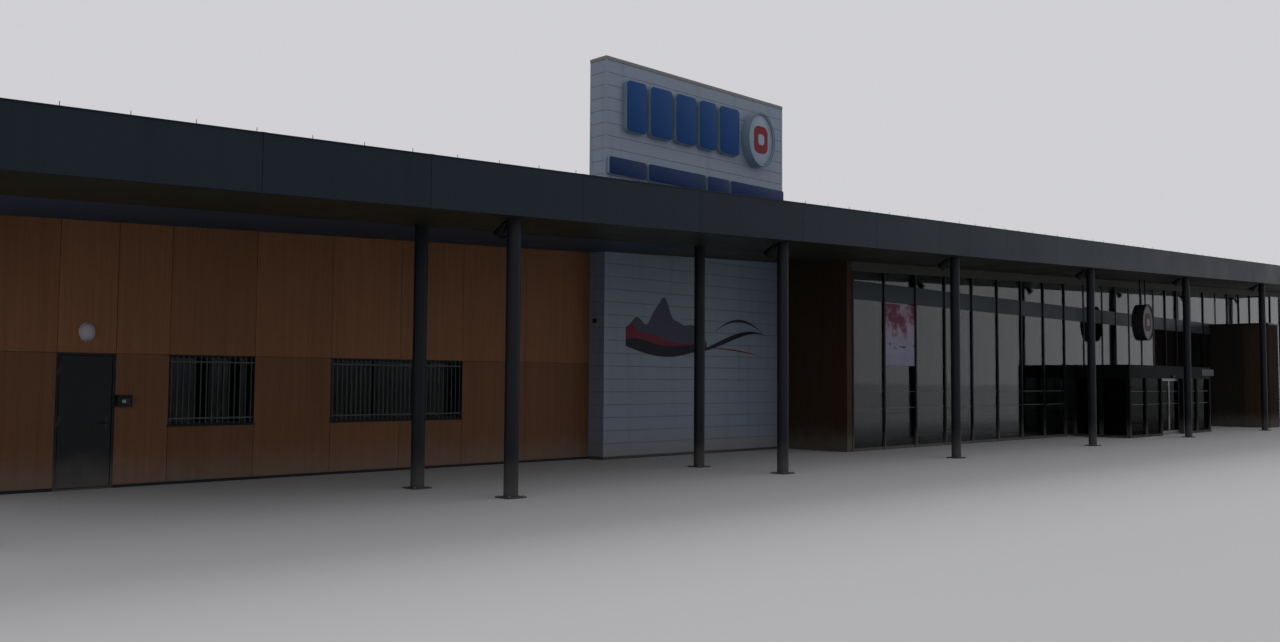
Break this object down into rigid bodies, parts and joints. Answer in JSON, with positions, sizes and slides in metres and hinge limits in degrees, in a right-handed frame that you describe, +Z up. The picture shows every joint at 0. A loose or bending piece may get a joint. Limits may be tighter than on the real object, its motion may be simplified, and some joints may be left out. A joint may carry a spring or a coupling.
{
  "type": "supermarket building, 1:2 scale model",
  "caption": "Long single-storey supermarket at half scale: rising roof edge on round columns, wood-clad front, white sign tower, glass hall and an entrance lobby with sliding doors",
  "frame": {"origin": "middle of the underside, where the floor slab meets the ground", "axes": "+X runs east along the glazed front, +Y runs into the building, +Z is up"},
  "size_m": [30.366, 16.416, 4.6],
  "materials": {
    "concrete_floor": "trowelled concrete floor",
    "render_grey": "ribbed light grey wall sheet",
    "roof_membrane": "grey roof membrane",
    "anthracite_sheet": "satin anthracite sheet",
    "grey_lining": "gloss grey lining sheet",
    "dark_lining": "satin dark lining sheet",
    "anthracite_steel": "satin anthracite paint",
    "lamp_black": "black powder coat",
    "inner_wall": "plain blockwork",
    "wood_panel": "oiled wood panel",
    "door_paint": "dark satin paint",
    "steel_fitting": "brushed",
    "lamp_cover": "opal",
    "window_frame": "dark satin paint",
    "clear_glass": "clear",
    "white_siding": "white lacquer",
    "light_coping": "light grey lacquer",
    "tower_steel": "primed steel",
    "disc_white": "satin acrylic",
    "sign_blue": "blue acrylic",
    "hall_frame": "dark satin paint",
    "hall_glazing": "reflecting",
    "band_grey": "grey enamel",
    "lobby_frame": "anthracite paint",
    "door_aluminium": "satin anodised",
    "hanger_steel": "satin anthracite paint",
    "plate_white": "satin"
  },
  "bodies": {
    "building": {"floor_slab": "concrete_floor", "west_wall": "render_grey", "east_wall": "render_grey", "rear_wall": "render_grey", "roof_deck": "roof_membrane", "roof_upstand": "roof_membrane", "roof_coping": "anthracite_sheet", "fascia_front": "anthracite_sheet", "fascia_sides": "anthracite_sheet", "canopy_lining": "grey_lining", "rear_lining": "dark_lining", "edge_beam": "anthracite_steel", "cross_beams": "anthracite_steel", "front_columns": "anthracite_steel", "rear_columns": "anthracite_steel", "column_spotlights": "lamp_black", "front_wall_west": "inner_wall", "front_wall_over_door": "inner_wall", "front_wall_east": "inner_wall", "wood_panels_lower": "wood_panel", "wood_panels_upper": "wood_panel", "service_door_frame": "door_paint", "door_hinges_fixed": "steel_fitting", "keypad_box": "lamp_black", "bulkhead_lamp": "lamp_cover", "window_frames": "window_frame", "window_glass": "clear_glass", "tower_front": "white_siding", "tower_shell": "white_siding", "tower_coping": "light_coping", "tower_posts": "tower_steel", "infill_wall": "white_siding", "oval_sign": "disc_white", "sign_blocks": "sign_blue", "hall_mullions": "hall_frame", "hall_glass": "hall_glazing", "hall_band": "band_grey", "hall_sill": "hall_frame", "hall_head_wall": "hall_frame", "return_wall": "wood_panel", "vestibule_posts": "lobby_frame", "vestibule_sills": "lobby_frame", "vestibule_glass": "clear_glass", "vestibule_roof": "lobby_frame", "entrance_track": "lobby_frame", "drum_sign": "disc_white", "drum_hangers": "hanger_steel", "plate_sign": "plate_white", "brown_box": "wood_panel"},
    "service_door": {"service_door_leaf": "door_paint", "door_hinges_moving": "steel_fitting", "service_door_handle": "steel_fitting"},
    "entrance_west": {"entrance_leaf_west": "door_aluminium", "entrance_glass_west": "clear_glass"},
    "entrance_east": {"entrance_leaf_east": "door_aluminium", "entrance_glass_east": "clear_glass"}
  },
  "joints": [
    {"name": "service_door_hinge", "type": "hinge", "parent": "building", "child": "service_door", "pos_m": [-13.792, -5.303, 0.54], "axis": [0, 0, -1], "range_deg": [0, 95]},
    {"name": "entrance_west_slide", "type": "slide", "parent": "building", "child": "entrance_west", "axis": [-1, 0, 0], "range_m": [0, 0.48]},
    {"name": "entrance_east_slide", "type": "slide", "parent": "building", "child": "entrance_east", "axis": [1, 0, 0], "range_m": [0, 0.48]}
  ],
  "couplings": [
    {"joint": "entrance_east_slide", "follows": "entrance_west_slide", "ratio": 1}
  ]
}
